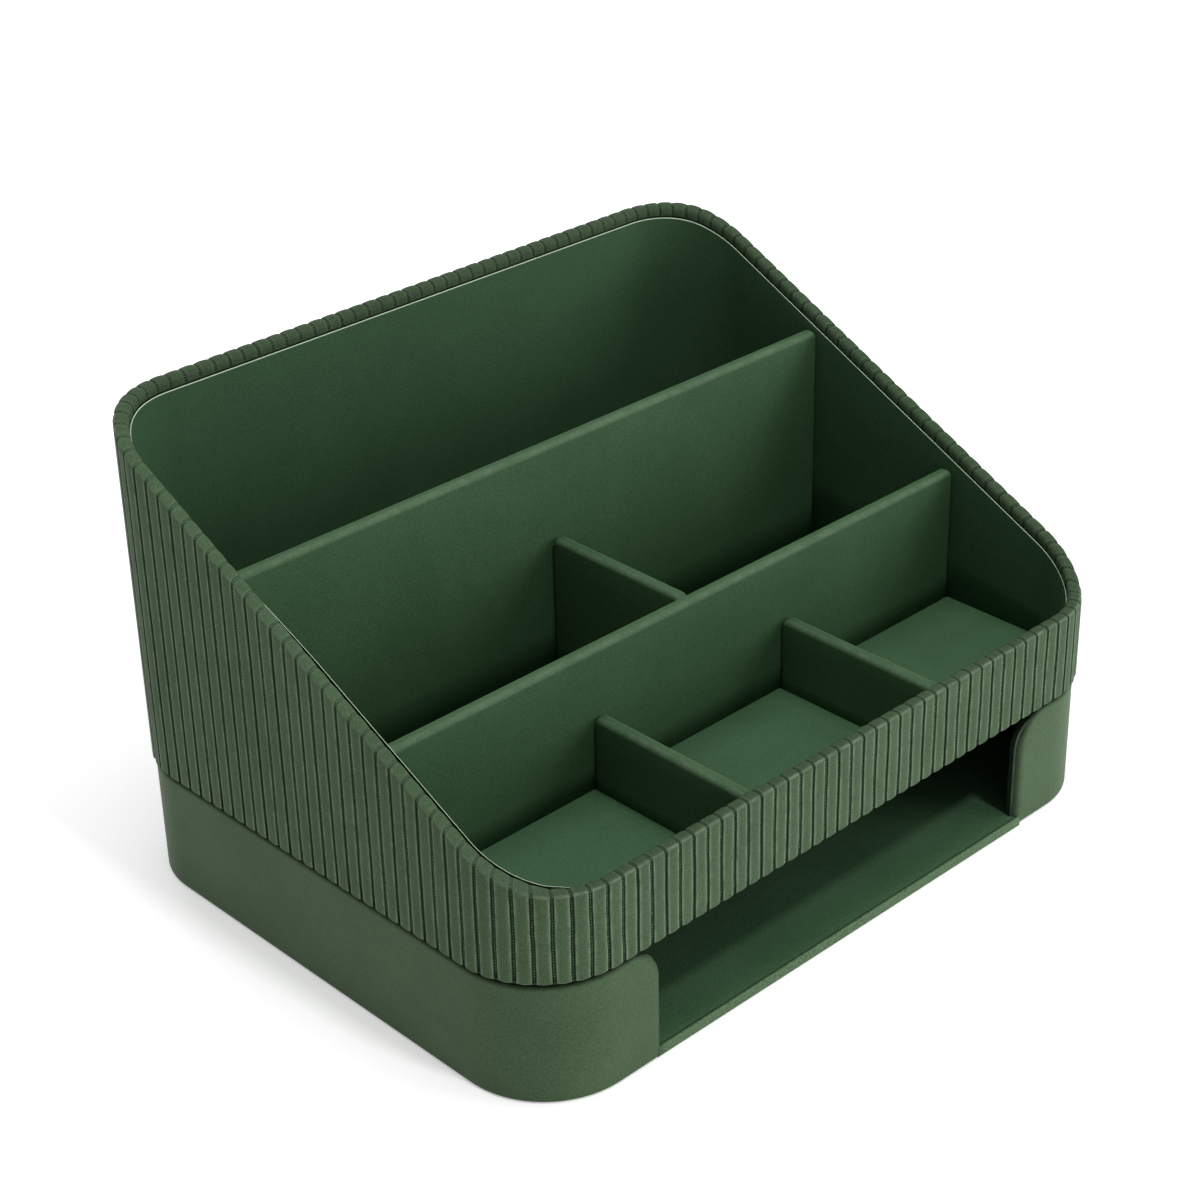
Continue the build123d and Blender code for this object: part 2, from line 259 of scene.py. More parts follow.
def fluted_surface():
    """Grid of the wrap: profile rows by 18 columns for every rib.

    Half the floor's width, the shoulder, the depth, the thread's ridge and the fullness each have a value
    for the wall and one for the rim.

    From a groove's middle a column lies floor times its place on the floor, plus shoulder times one minus
    the cosine of its turn, plus the rest times its place on the rib. It is let in by the depth, less the
    thread's ridge, less the sine of its turn times what the rib's fullness leaves of the depth. Over the
    rim it moves along by a share of the rim's slope there times the way it has gone inwards.
    """
    rows = wrap_profile()[:, :, None]
    inset, blend, low, high, out_in, out_up, ribbed, crown, row_wear_and_highlight = (rows[:, k] for k in range(9))
    on_floor, turn, on_rib = both_sides(ON_FLOOR), both_sides(ON_SHOULDER), both_sides(ON_RIB)
    flute = np.repeat(np.arange(FLUTES), COLUMNS)[None, :]
    coming_back = np.tile(np.arange(COLUMNS) >= HALF_COLUMNS, FLUTES)[None, :]
    groove = (flute + coming_back) % FLUTES
    _, y, out_x, _ = outline((groove + 0.5) * PITCH, inset)
    slope = rim_height(y + 0.5) - rim_height(y - 0.5)
    slant = np.maximum(-slope * out_x, 0)
    waver = 0.5 + 0.3 * np.sin(flute * 2.4 + 1.0) + 0.2 * np.sin(flute * 0.77 + blend * 5.0)
    sway = 0.10 * np.sin(groove * 1.7 + blend * 6.0) + 0.05 * np.sin(groove * 0.9 + blend * 17.0)
    pinch = 1 + 0.14 * np.sin(groove * 2.9 + 0.6)
    floor, shoulder, depth, ridge, full = (wall + (rim - wall) * crown for wall, rim in ON_WALL_AND_RIM)
    depth, ridge = (depth - 0.55 * slant * crown) * pinch, ridge - 0.2 * slant * crown
    fullness = full * (0.6 + 0.8 * waver)
    away = floor * on_floor + shoulder * (1 - np.cos(turn)) + (PITCH / 2 - floor - shoulder) * on_rib
    place = np.where(coming_back, PITCH - away, away) + sway * (1 - on_rib)
    raised = ridge * (1 - on_floor ** 3)
    let_in = ribbed * (depth - raised - (depth - fullness * (1 - on_rib) ** 2) * np.sin(turn))
    distance = (flute + 0.5) * PITCH + place
    x, y, out_x, out_y = outline(distance + LEAN * slope * out_x * inset * blend, inset)
    foot = FOOT_AT + low + 0.35 * let_in / depth * ribbed * (low < FOOT_ROUND)
    z = (1 - blend) * foot + blend * (rim_height(y) + high) - let_in * out_up
    points = np.stack([x + out_x * out_in * let_in, y + out_y * out_in * let_in, z], -1)
    run = np.cumsum(np.linalg.norm(np.diff(points, axis=0, prepend=points[:1]), axis=-1), 0)
    # Painted shade in the groove, less over the rim and least on the left slope's rim.
    crease = both_sides(GROOVE_SHADE) * ribbed * (1 - crown * (0.3 + 0.55 * slant))
    # Paler on the bends and beside the grooves: partly rubbed wear, partly a painted highlight.
    on_bends = (0.85 - crown * (0.3 + slant)) * row_wear_and_highlight * np.sin(turn)
    by_grooves = both_sides(RUBBED_AND_LIT) * (1 - 0.85 * crown)
    wear = np.maximum(on_bends, by_grooves) * ribbed
    # Painted shade on the rim's top, least on the left slope.
    shade = crown * ribbed * (0.42 - 0.45 * slant)
    return points, dict(crease=crease, seam=away, run=run, crown=crown * ribbed, shade=shade, wear=wear)


points, values = fluted_surface()
fluted = grid_piece("fluted_wrap_skin", points, "caddy", ["fluted_wrap"], "fluted_leather", **values)

# %% [markdown]
# ## The caddy's lining
# Inside the wall a stiff leather-covered card stands on the floor and ends just below the rim, where its
# cut edge shows as a thin pale line under a dark gap; the gap's shade is painted on the card's back
# where it faces the wrap. It is the outline again, moved inwards, with a narrow closed profile. Along the
# left wall and round the near corner the card was set higher when it was glued in, almost up to the rim,
# and there its edge leans in a little.

# %% Caddy lining
LINING_FOOT, RAISED = 54.6, 3.95
RISE_AFTER, RISE_OVER, FALL_OVER = 20.0, 80.0, 24.0
LINING_ROWS = np.array([
    [6.40, 0.00, 0.0, 5.50, 0.0, 0.0],
    [6.40, 0.00, 0.3, 5.50, 0.3, 0.0],
    [6.40, 0.00, 0.6, 5.50, 0.6, 0.0],
    [6.40, 0.00, 0.9, 5.50, 0.9, 0.0],
    [6.40, 0.40, 1.0, 5.50, 1.0, 0.0],
    [6.40, 0.50, 1.0, 5.28, 1.0, 0.7],
    [6.38, 0.50, 1.0, 5.14, 1.0, 1.0],
    [6.16, 0.50, 1.0, 5.06, 1.0, 1.0],
    [6.12, 0.50, 1.0, 5.12, 1.0, -1.0],
    [6.00, 0.35, 1.0, 6.20, 0.0, -1.0],
    [4.85, 0.00, 1.0, 6.20, 0.0, -1.0],
    [4.85, 0.00, 0.0, 6.20, 0.0, -1.0],
])


def lining_surface():
    """Profile rows carried round the outline.

    A row is: inset, lean, blend from foot to rim, depth under the rim, rise, and cut edge (1) or back
    towards the gap, painted dark as shade (-1). The card is raised by the share of a smooth step up along
    the left wall and one down after the corner.
    """
    inset, lean, blend, under, rise, cut = (LINING_ROWS[:, k, None] for k in range(6))
    distance = np.linspace(0, ROUND, 480, endpoint=False)[None, :]
    corner_end = ROUND - HALF_X
    up = np.clip((distance - (corner_end - TURN - 2 * HALF_Y + RISE_AFTER)) / RISE_OVER, 0, 1)
    down = np.clip((corner_end - distance) / FALL_OVER, 0, 1)
    raised = up ** 2 * (3 - 2 * up) * down ** 2 * (3 - 2 * down)
    wave = 0.07 * np.sin(distance * 0.041) * np.sin(blend * math.pi)
    x, y, _, _ = outline(distance, inset + lean * raised + wave)
    z = (1 - blend) * LINING_FOOT + blend * (rim_height(y) - under) + RAISED * raised * rise
    return np.stack([x, y, z], -1), cut


points, cut = lining_surface()
lining = grid_piece("caddy_wall_lining", points, "caddy", ["caddy_wall_liner"], "lining_leather", cut=cut)

# %% [markdown]
# ## The partitions and dividers
# Each partition is a board with leather wrapped over its top and round its ends. Its cross-section is two
# upright sides and a rounded top; carried along the board, it gets narrower and lower over the last
# few millimetres, by a quarter circle, so that the ends are soft too.

# %% Partitions and dividers
BOARD_THICK, END_SOFT, END_DROP, TOP_SOFT = 6.0, 1.7, 3.0, 2.5


def quarter(gap, radius):
    """Set-back of a rounded end at a gap from it.

    That is the radius less the root of radius squared less (radius - gap) squared.
    """
    gap = np.clip(gap, 0, radius)
    return radius - np.sqrt(np.maximum(radius ** 2 - (radius - gap) ** 2, 0))


def wrapped_board(length, foot, top):
    """Grid of one wrapped board along its own length axis: section rows by stations.

    The side rows rise straight, and the top is a quarter turn, a short flat and a quarter turn back.
    """
    near = np.array([0, 0, 0.1, 0.35, 0.8, 1.3, 1.8, 2.4, 3.2, 5.0])
    station = np.concatenate([near, np.linspace(8, length - 8, 40), length - near[::-1]])[None, :]
    gap = np.minimum(station, length - station)
    half = BOARD_THICK / 2 - quarter(gap, END_SOFT)
    half[:, [0, -1]] = 0.0
    crest = top - quarter(gap, END_DROP)
    turn = np.linspace(0, math.pi / 2, 7)[:, None]
    soft = np.minimum(TOP_SOFT, half)
    rise = np.linspace(0, 1, 6)[:-1, None]
    side = np.concatenate([-half + 0 * rise, -half + soft * (1 - np.cos(turn))])
    up = np.concatenate([foot + rise * (crest - soft - foot), crest - soft * (1 - np.sin(turn))])
    # Paler on the top bends and the ends: rubbed wear and a painted highlight.
    wear = np.concatenate([0 * rise, np.sin(2 * turn)]) + np.exp(-((gap - 0.6) / 0.5) ** 2)
    mirrored = (side, -side), (up, up), (wear, wear)
    return station, *(np.concatenate([near_side, far_side[::-1]]) for near_side, far_side in mirrored)


boards = {
    "back_partition": ((-158.5, 158.5), (37.5, 43.5), 158.9),
    "front_partition": ((-158.5, 158.5), (-41.4, -35.4), 117.6),
    "middle_divider": ((-3.0, 3.0), (-35.3, 37.4), 117.0),
    "front_divider_left": ((-56.0, -50.0), (-120.0, -41.5), 88.3),
    "front_divider_right": ((50.0, 56.0), (-120.0, -41.5), 88.3),
}
wrapped = []
for name, (across, back, top) in boards.items():
    lies_along_x = across[1] - across[0] > back[1] - back[0]
    start, end = across if lies_along_x else back
    middle = sum(back if lies_along_x else across) / 2
    station, side, up, wear = wrapped_board(end - start, LINING_FOOT, top)
    along = station + start + 0 * side
    points = np.stack([along, side + middle, up] if lies_along_x else [side + middle, along, up], -1)
    wrapped.append(grid_piece(name + "_cover", points, "caddy", [name + "_leather"], "smooth_leather",
                              join_columns=False, wear=wear))

# %% [markdown]
# ## The tray wall
# The lower shell is a smooth C of leather-covered board, open at the front. The leather turns over the
# top, under the foot and round both free ends, whose upper corners are rounded. Near a free edge the
# face bends in softly, more at the ends than along the top. The narrow edge that is left, on the ledge
# under the caddy and on the ends, is dyed dark as leather edges often are, with a thin pale line where
# the dye begins, a rubbed edge and a painted highlight. Down the bend the colour is painted darker as
# shade, under the caddy's overhang and where the ends turn from the light, more at the right end than
# at the left. The profile is carried along the outline from one free end to the other.

# %% Tray wall
TRAY_TOP, TRAY_FOOT, END_AT, END_ROUND, SKIN = 51.3, 0.3, 103.5, 16.0, 1.05
EDGE, EDGE_IN, NOSE, NOSE_IN, CORE_END = 1.9, 1.1, 5.0, 2.4, 2.3
FACE_IN, BACK_IN, BEHIND_FACE, FOOT_BEND = 1.4, 6.4, 2.48, 0.8
# Painted shade below the free edge: its strength along the top and at each end, and its reach.
SHADE_ALONG_TOP, SHADE_AT_RIGHT, SHADE_AT_LEFT, SHADE_REACH = 0.6, 0.8, 0.35, 0.75
NEAR_END = np.array([0, 0, 0, 0.06, 0.18, 0.35, 0.6, 0.95, 1.4, 2.0,
                     2.8, 3.7, 4.8, 6.0, 7.4, 9.0, 11.0, 13.0, 15.0])
NEAR_TOP = np.array([5.0, 3.7, 2.7, 1.9, 1.25, 0.8, 0.45, 0.2, 0.06, 0])[:, None]


def end_stations(first, near):
    """Distances along the outline from one free end to the other, close together at both ends."""
    last = ROUND - first
    middle = np.linspace(first + 17, last - 17, 330)
    return np.concatenate([first + near, middle, last - near[::-1]])[None, :]


def tray_surface():
    """Rows: outer foot, outer face, its rounding, the edge on top, then the hidden rows behind the skin.

    The free edge is level along the top, upright at the ends and a quarter circle between. A point of the
    face that lies within the rounding's reach of it is set in by a quarter of an ellipse. The first
    columns at each end have no way between them: they draw the end's flat edge, from the inside out.
    A hidden row uses the distance that stops one skin short.
    """
    distance = end_stations(END_AT, NEAR_END)
    gap = np.minimum(distance - END_AT, ROUND - END_AT - distance)
    shy = np.clip(CORE_END - gap, 0, None) * np.where(distance < ROUND / 2, 1, -1)
    top = TRAY_TOP - quarter(gap, END_ROUND)
    inner_top = TRAY_TOP - 0.5 - quarter(np.maximum(gap, CORE_END), END_ROUND)
    near = np.clip(gap / (0.7 * END_ROUND), 0, 1)
    soft = 1 - near ** 2 * (3 - 2 * near)
    reach, set_in = EDGE + (NOSE - EDGE) * soft, EDGE_IN + (NOSE_IN - EDGE_IN) * soft
    turn = np.linspace(0, math.pi / 2, 6)[:, None]
    rise = np.linspace(0, 1, 7)[1:-1, None]
    face_foot, face_top = TRAY_FOOT + FOOT_BEND, top - NEAR_TOP[0]
    face = np.concatenate([TRAY_FOOT + FOOT_BEND * (1 - np.cos(turn)) + 0 * gap,
                           face_foot + rise * (face_top - face_foot), top - NEAR_TOP])
    into = END_ROUND - np.hypot(np.maximum(END_ROUND - gap, 0), np.maximum(face - TRAY_TOP + END_ROUND, 0))
    outer = FACE_IN + set_in * (1 - np.sqrt(1 - (1 - np.clip(into / reach, 0, 1)) ** 2))
    inner = BACK_IN - quarter(gap, 0.4)
    outer[:, [1, -2]] += 0.15
    outer[:, [0, -1]] = inner[:, [0, -1]] - 0.02
    outer[:6] += FOOT_BEND * (1 - np.sin(turn)) * np.clip((inner - outer[:6]) / 2, 0, 1)
    bent = np.minimum(1.0, 0.5 * (inner - outer[-1:]))
    even = np.ones_like(gap)
    back, behind = (BACK_IN - 0.02) * even, BEHIND_FACE * even
    inset = np.concatenate([
        outer, np.minimum(outer[-1:] + 0.15, inner), inner - bent * (1 - np.sin(turn)), inner,
        back, behind, behind, back, inner, inner - 0.5 * bent])
    over_foot = (TRAY_FOOT + SKIN) * even
    height = np.concatenate([
        face, top, top - bent * (1 - np.cos(turn)), top - bent - 0.3,
        inner_top, inner_top, over_foot, over_foot, (TRAY_FOOT + 0.5) * even, TRAY_FOOT * even])
    rows = np.arange(len(inset))[:, None]
    hidden = (rows >= len(rows) - 6) & (rows < len(rows) - 2)
    # Dark edge dye on the ledge, the end edges and the hidden rows; the ledge also lies in the seam's shade.
    dyed = ((rows >= len(face)) & (rows < len(rows) - 2)) + 0 * gap
    dyed[:, [0, 1, -2, -1]] = 1.0
    # Down the face near the free edge, painted shade: under the caddy's overhang and where the ends turn from
    # the light.
    dip = np.clip((0.3 + reach * SHADE_REACH - into) / (reach * SHADE_REACH), 0, 1)
    strong = SHADE_ALONG_TOP + (np.where(distance < ROUND / 2, SHADE_AT_RIGHT, SHADE_AT_LEFT) - SHADE_ALONG_TOP) * soft
    dyed[:len(face), 2:-2] = (dip ** 2 * (3 - 2 * dip) * strong)[:, 2:-2]
    x, y, _, _ = outline(distance + shy * hidden, inset)
    # A thin pale line where the dye begins: a rubbed edge and a painted highlight.
    wear = np.zeros_like(x)
    wear[:len(face), 2:-2] = (np.exp(-((into - 0.04) / 0.13) ** 2) * soft)[:, 2:-2]
    return np.stack([x, y, height], -1), dict(wear=wear, dyed=dyed)


points, values = tray_surface()
tray_skin = grid_piece("tray_wall_skin", points, "tray", ["tray_wall_leather"], "smooth_leather",
                       join_columns=False, **values)

# %% Tray lining
STRIP_FOOT = 1.45


def tray_lining_surface():
    """Thin strip inside the C: a face, a top edge and a back, lowered near the ends by a quarter circle."""
    first = END_AT + CORE_END
    distance = end_stations(first, NEAR_END[1:])
    gap = np.minimum(distance - first, ROUND - first - distance)
    top = TRAY_TOP - SKIN - quarter(gap + CORE_END, END_ROUND)
    inset = np.array([6.4, 6.4, 6.4, 6.2, 5.65, 5.65])[:, None] + 0 * gap
    inset[:, [0, -1]] = 6.0
    lift = np.array([0, 0.5, 0.99, 1, 1, 0])[:, None]
    x, y, _, _ = outline(distance, inset)
    return np.stack([x, y, STRIP_FOOT + lift * (top - STRIP_FOOT)], -1)


tray_lining = grid_piece("tray_wall_lining", tray_lining_surface(), "tray", ["tray_wall_liner"],
                         "lining_leather", join_columns=False)

# %% [markdown]
# ## The tray's floor
# A lining sheet covers the tray's board, and in front a strip of the outer leather is turned over the
# board's edge. A flat plate with a bevel would do for the sheet, but the strip's soft bends and the
# crease where the sheet meets it show, so the section is drawn as a loop, strip and all, and each of its
# points is spread to the floor's width there.

# %% Tray floor
FLOOR_TOP, FLOOR_EDGE, LIP_FRONT, TONGUE, STRIP, ASKEW = 4.1, 6.5, -125.5, 106.35, 106.0, 0.0055
UPPER_BEND, LOWER_BEND, SHEET = 0.75, 0.3, 0.85


def half_width(y):
    """Half the floor's width at a place y: the outline's inside, whose corners are quarter circles."""
    radius = CORNER - FLOOR_EDGE
    into = np.clip(np.abs(y) - HALF_Y, 0, radius)
    return HALF_X + np.sqrt(radius ** 2 - into ** 2)


def tray_floor_surface():
    """Loop of rows by columns from side to side: back edge, sheet, crease, strip, and back underneath.

    The strip has a quarter turn above and a tighter one below, and runs slightly askew.
    Rows of the tongue keep its width, the others take the outline's. At both sides a row closes on the
    row that lies under it.
    """
    inner_front = -DEPTH / 2 + FLOOR_EDGE
    share = np.linspace(0, 1, 7) ** 1.5
    bend = inner_front + 33 * share
    deep = np.concatenate([bend, [-40, 0, 40], -bend[::-1]])[::-1]
    turn = np.linspace(0, math.pi / 2, 7)
    tongue = np.concatenate([[inner_front - 0.05], LIP_FRONT + np.array([2.2, 1.75, 1.45, 1.2])])
    y = np.concatenate([deep, tongue, LIP_FRONT + UPPER_BEND * (1 - np.sin(turn))])
    sunk = np.concatenate([np.zeros(len(deep) + 2), [0.05, 0.4, 0.06], UPPER_BEND * (1 - np.cos(turn))])
    z = FLOOR_TOP - sunk
    wide = np.concatenate([half_width(deep), [TONGUE], np.full(len(y) - len(deep) - 1, STRIP)])
    # Outer strip where up to 1; below nought, painted shade in the crease where the sheet meets the strip.
    lip = np.concatenate([np.zeros(len(deep) + 2), [-0.5, -1.0, 0.6], np.ones(len(turn))])
    back_y = np.where(y < LIP_FRONT + 3, LIP_FRONT + SHEET, y)[::-1]
    back_y[: len(turn)] = LIP_FRONT + LOWER_BEND * (1 - np.cos(turn))
    back_z = np.full(len(y), FLOOR_TOP - SHEET)
    back_z[: len(turn)] = 0.05 + LOWER_BEND * (1 - np.sin(turn))
    there_and_back = (y, back_y), (z, back_z), (wide, wide[::-1]), (lip, lip[::-1])
    y, z, wide, lip = (np.concatenate(pair) for pair in there_and_back)
    across = np.concatenate([[-1.0], np.linspace(-1, 1, 41), [1.0]])
    points = np.stack(np.broadcast_arrays(wide[:, None] * across, y[:, None], z[:, None]), -1).copy()
    points[:, [0, -1]] = (points[:, [0, -1]] + points[::-1, [0, -1]]) / 2
    points[..., 1] -= ASKEW * points[..., 0] * (points[..., 1] < LIP_FRONT + 3)
    return points, lip[:, None]


points, lip = tray_floor_surface()
tray_floor = grid_piece("tray_floor_sheet", points, "tray", ["tray_floor_leather"], "lining_leather",
                        join_columns=False, lip=lip)

# %% [markdown]
# ## Leather
# The leather is a coated one: a dark green with a fine pebbled grain and a soft, even shine. Grain could
# be modelled, but its pebbles are half a millimetre across, so a bump does it: a cell pattern with a
# finer noise on it tips the surface's normal. A broad noise shifts the colour slightly, because no hide
# is even, and where an edge is rubbed or catches the light, by the wear and highlight kept on the points,
# the coat is painted paler.

# %% Node helpers


def node_adder(tree):
    """Function that adds a node to a tree; an input goes by its name, or by its number after a letter i."""

    def add(kind, settings=None, **inputs):
        made = tree.nodes.new(kind)
        for key, value in (settings or {}).items():
            setattr(made, key, value)
        for key, value in inputs.items():
            plain = key.replace("_", " ")
            socket = made.inputs[plain] if plain in made.inputs else made.inputs[int(key[1:])]
            if isinstance(value, bpy.types.NodeSocket):
                tree.links.new(value, socket)
            else:
                socket.default_value = value
        return made.outputs["Result"] if kind in ("ShaderNodeMapRange", "ShaderNodeMix") else made

    return add


def new_material(name):
    """Material with nodes; returns it, its shader, a function that adds nodes, and the links."""
    material = bpy.data.materials.new(name)
    material.use_nodes = True
    tree = material.node_tree
    return material, tree.nodes["Principled BSDF"], node_adder(tree), tree.links


def sum_of(add, value, times, more):
    """Value times a number, plus more."""
    return add("ShaderNodeMath", {"operation": "MULTIPLY_ADD"}, i0=value, i1=times, i2=more).outputs["Value"]


def sine(add, value):
    """Sine of a value."""
    return add("ShaderNodeMath", {"operation": "SINE"}, i0=value).outputs["Value"]


def srgb(red, green, blue):
    """Linear colour of a screen colour given from 0 to 255."""
    value = np.array([red, green, blue]) / 255
    linear = np.where(value <= 0.04045, value / 12.92, ((value + 0.055) / 1.055) ** 2.4)
    return (*[float(v) for v in linear], 1.0)


def scale(add, value, *sockets):
    """Product of a value and sockets, as a chain of multiplying nodes."""
    for socket in sockets:
        value = add("ShaderNodeMath", {"operation": "MULTIPLY"}, i0=value, i1=socket).outputs["Value"]
    return value


def kept(add, name):
    """Value that is kept on the piece's points under a name."""
    return add("ShaderNodeAttribute", {"attribute_name": name}).outputs["Fac"]


# %% Leather


class Hide:
    """A leather in the making: its colour, and its height for the bump, to be changed in steps."""

    def __init__(self, name, colour, deep, grain, speckled=0.16):
        self.material, self.shader, self.add, self.links = new_material(name)
        add = self.add
        place = add("ShaderNodeTexCoord").outputs["Object"]
        broad = add("ShaderNodeTexNoise", Vector=place, Scale=19.0, Detail=5.0, Roughness=0.62).outputs["Fac"]
        fine = add("ShaderNodeTexNoise", Vector=place, Scale=1400.0, Detail=3.0, Roughness=0.65)
        cells = add("ShaderNodeTexVoronoi", {"feature": "SMOOTH_F1"}, Vector=place, Scale=grain, Smoothness=0.4)
        patchy = add("ShaderNodeTexNoise", Vector=place, Scale=160.0, Detail=4.0, Roughness=0.65)
        self.fine, cells, self.patchy = fine.outputs["Fac"], cells.outputs["Distance"], patchy.outputs["Fac"]
        share = add("ShaderNodeMapRange", Value=broad, i1=0.38, i2=0.62, i3=0.0, i4=1.0)
        pebble = add("ShaderNodeMapRange", Value=cells, i1=0.1, i2=0.7, i3=1.09, i4=0.86)
        speckle = add("ShaderNodeMapRange", Value=self.fine, i1=0.3, i2=0.7, i3=1 - speckled, i4=1 + speckled)
        self.colour = self.times(self.times(self.mix(share, deep, colour), pebble), speckle)
        self.height = sum_of(add, self.fine, -0.35, scale(add, cells, -1.0))

    def mix(self, share, first, second):
        """Colour between two, by a share."""
        return self.add("ShaderNodeMix", {"data_type": "RGBA"}, i0=share, i6=first, i7=second)

    def times(self, colour, value):
        """Colour made lighter or darker by a value."""
        made = self.add("ShaderNodeVectorMath", {"operation": "SCALE"}, i0=colour, Scale=value)
        return made.outputs["Vector"]

    def rub_and_highlight(self, pale, most):
        """Pale coat for rubbed wear and painted highlight where the kept value is high, broken up by a patchy
        noise.
        """
        broken = self.add("ShaderNodeMapRange", Value=self.patchy, i1=0.36, i2=0.6, i3=0.35, i4=1.0)
        self.colour = self.mix(scale(self.add, most, kept(self.add, "wear"), broken), self.colour, pale)

    def finish(self, rough, relief=0.00012, shine=0.11):
        """Joins colour, roughness and bump to the shader, and sets its shine."""
        least, most = rough - 0.07, rough + 0.07
        gloss = self.add("ShaderNodeMapRange", Value=self.fine, i1=0.3, i2=0.7, i3=least, i4=most)
        bump = self.add("ShaderNodeBump", Strength=0.4, Distance=relief, Height=self.height)
        self.links.new(self.colour, self.shader.inputs["Base Color"])
        self.links.new(gloss, self.shader.inputs["Roughness"])
        self.links.new(bump.outputs["Normal"], self.shader.inputs["Normal"])
        self.shader.inputs["Specular IOR Level"].default_value = shine
        return self.material


def dress(material, *pieces):
    """Gives pieces one material in place of any they have."""
    for piece in pieces:
        piece.data.materials.clear()
        piece.data.materials.append(material)


# %% [markdown]
# ## Smooth leather and lining
# The tray's skin is the outer leather; partitions and linings are a deeper green with a duller coat. The
# caddy's lining is a darker copy, as painted shade, and the tray's floor sheet a lighter one, as painted
# light. The lining card's cut edge is left raw and pale, the back towards the gap behind it is painted
# dark as shade, and so is the crease along the tray's front strip, whose leather is a little mottled by
# the stretch over the edge.

# %% Smooth leather and lining
# The pale rubbed green stands for worn edges and for painted highlights on bends.
GREEN, DEEP_GREEN, WORN_AND_LIT_GREEN = srgb(81, 104, 76), srgb(75, 97, 70), srgb(140, 156, 133)
INNER_GREEN, DEEP_INNER = srgb(62, 90, 62), srgb(57, 85, 57)
LINING_GREEN, DEEP_LINING = srgb(66, 97, 69), srgb(62, 92, 64)

outer_hide = Hide("smooth_leather", GREEN, DEEP_GREEN, 1250.0)
# Dark edge dye and painted shade, kept on the tray's points, darken its colour down to a fifth.
dye_and_shade_tone = outer_hide.add("ShaderNodeMapRange", Value=kept(outer_hide.add, "dyed"), i1=0.0, i2=1.0, i3=1.0, i4=0.2)
outer_hide.colour = outer_hide.times(outer_hide.colour, dye_and_shade_tone)
outer_hide.rub_and_highlight(WORN_AND_LIT_GREEN, 0.6)
dress(outer_hide.finish(0.5, shine=0.07), tray_skin)

partition_hide = Hide("partition_leather", INNER_GREEN, DEEP_INNER, 1350.0)
partition_hide.rub_and_highlight(WORN_AND_LIT_GREEN, 0.16)
dress(partition_hide.finish(0.54), *wrapped)

lining_hide = Hide("lining_leather", LINING_GREEN, DEEP_LINING, 1500.0)
lining_sheets = [node for name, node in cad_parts.items()
                 if name.endswith("floor_leather") and name != "tray_floor_leather"]
dress(lining_hide.finish(0.58), tray_lining, *lining_sheets)

# The caddy's lining is a darker copy of the lining leather, painted shade for the caddy's inside.
edge_hide = Hide("edged_lining_leather", srgb(56, 84, 58), srgb(52, 79, 54), 1500.0)
raw_edge_and_gap = kept(edge_hide.add, "cut")
raw = edge_hide.add("ShaderNodeMapRange", Value=raw_edge_and_gap, i1=0.0, i2=1.0, i3=0.0, i4=1.0)
# The back towards the gap is painted dark as shade.
gap_shade = edge_hide.add("ShaderNodeMapRange", Value=raw_edge_and_gap, i1=0.0, i2=-1.0, i3=1.0, i4=0.1)
edge_hide.colour = edge_hide.times(edge_hide.mix(raw, edge_hide.colour, srgb(186, 208, 180)), gap_shade)
dress(edge_hide.finish(0.58), lining)

# The tray's floor sheet is a lighter copy of the lining leather, painted light on a floor mostly in shade.
lip_hide = Hide("lipped_lining_leather", srgb(72, 104, 75), srgb(66, 98, 69), 1500.0)
mottle = lip_hide.add("ShaderNodeMapRange", Value=lip_hide.fine, i1=0.36, i2=0.62, i3=0.7, i4=1.6)
on_lip = kept(lip_hide.add, "lip")
strip = lip_hide.add("ShaderNodeMapRange", Value=on_lip, i1=0.0, i2=1.0, i3=0.0, i4=1.0)
# Painted shade in the crease where the sheet meets the strip.
crease_shade = lip_hide.add("ShaderNodeMapRange", Value=on_lip, i1=0.0, i2=-1.0, i3=1.0, i4=0.2)
mottled = lip_hide.times(GREEN[:3], mottle)
lip_hide.colour = lip_hide.times(lip_hide.mix(strip, lip_hide.colour, mottled), crease_shade)
dress(lip_hide.finish(0.55, 0.00016), tray_floor)
print("leathers", [m.name for m in bpy.data.materials])

# %% [markdown]
# ## Fluted leather
# In the grooves the colour is painted darker as shade, and a green thread runs along the floor in
# stitches a little over a millimetre long, worn here and there. Over the rim the leather puckers beside
# the grooves, as a bump and as painted shade and highlight across each pucker, and the rim's top is
# painted darker as shade. These marks could be cut into the mesh, but they are a tenth of a millimetre
# deep; they follow the grooves by two values kept on the points, the way along the profile and the way
# from the groove.

# %% Fluted leather
STITCH, THREAD = 1.25, 0.46
SOFT = {"interpolation_type": "SMOOTHSTEP"}
flute_hide = Hide("fluted_leather", srgb(83, 106, 78), srgb(76, 98, 71), 1250.0, 0.21)
add = flute_hide.add
crease, seam, run, crown = (kept(add, name) for name in ("crease", "seam", "run", "crown"))
beat = sine(add, sum_of(add, flute_hide.patchy, 8.0, scale(add, run, 2 * math.pi / STITCH)))
on_thread = add("ShaderNodeMapRange", SOFT, Value=seam, i1=THREAD + 0.14, i2=THREAD - 0.06, i3=0.0, i4=1.0)
stitch = add("ShaderNodeMapRange", SOFT, Value=beat, i1=-0.2, i2=0.5, i3=0.0, i4=1.0)
worn = add("ShaderNodeMapRange", Value=flute_hide.fine, i1=0.42, i2=0.58, i3=0.05, i4=1.0)
thread = scale(add, on_thread, stitch, worn)
near = add("ShaderNodeMapRange", SOFT, Value=seam, i1=2.2, i2=0.5, i3=0.0, i4=1.0)
pucker = scale(add, near, sine(add, sum_of(add, flute_hide.patchy, 9.0, scale(add, seam, 8.5))), crown)
